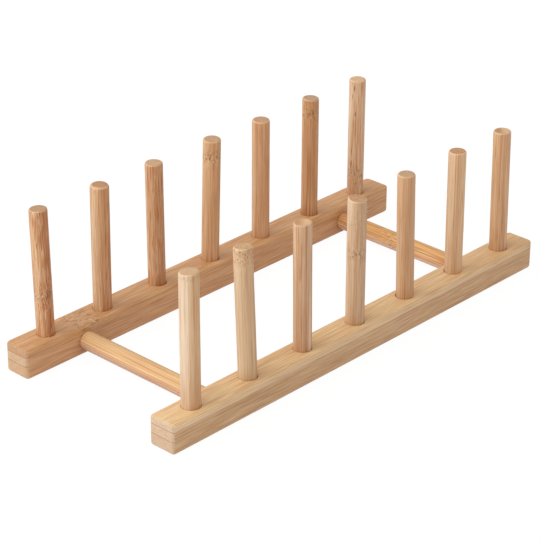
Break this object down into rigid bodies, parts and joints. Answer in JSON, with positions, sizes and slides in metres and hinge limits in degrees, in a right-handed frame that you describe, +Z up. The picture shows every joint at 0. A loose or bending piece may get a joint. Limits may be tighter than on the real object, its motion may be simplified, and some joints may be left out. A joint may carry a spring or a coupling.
{
  "type": "plate rack",
  "caption": "Low open bamboo rack: laminated rails held apart by cross dowels, with rows of upright pegs that plates stand between on edge.",
  "frame": {"origin": "middle of the rack on the surface that the rails rest on", "axes": "+X along the rails, +Y from the front rail to the rear rail, +Z up"},
  "size_m": [0.3406, 0.1484, 0.1084],
  "materials": {
    "front_rail": "pale bamboo, sanded, clear satin oil",
    "rear_rail": "amber bamboo, sanded, clear satin oil",
    "front_peg": "pale turned bamboo, satin",
    "rear_peg": "amber turned bamboo, satin",
    "left_dowel": "pale turned bamboo, satin",
    "right_dowel": "golden turned bamboo, satin"
  },
  "bodies": {
    "root": {"rail_front_bottom_ply": "front_rail", "rail_front_middle_ply": "front_rail", "rail_front_top_ply": "front_rail", "peg_front_1": "front_peg", "peg_front_2": "front_peg", "peg_front_3": "front_peg", "peg_front_4": "front_peg", "peg_front_5": "front_peg", "peg_front_6": "front_peg", "peg_front_7": "front_peg", "rail_rear_bottom_ply": "rear_rail", "rail_rear_middle_ply": "rear_rail", "rail_rear_top_ply": "rear_rail", "peg_rear_1": "rear_peg", "peg_rear_2": "rear_peg", "peg_rear_3": "rear_peg", "peg_rear_4": "rear_peg", "peg_rear_5": "rear_peg", "peg_rear_6": "rear_peg", "peg_rear_7": "rear_peg", "cross_dowel_left": "left_dowel", "cross_dowel_right": "right_dowel"}
  },
  "joints": []
}
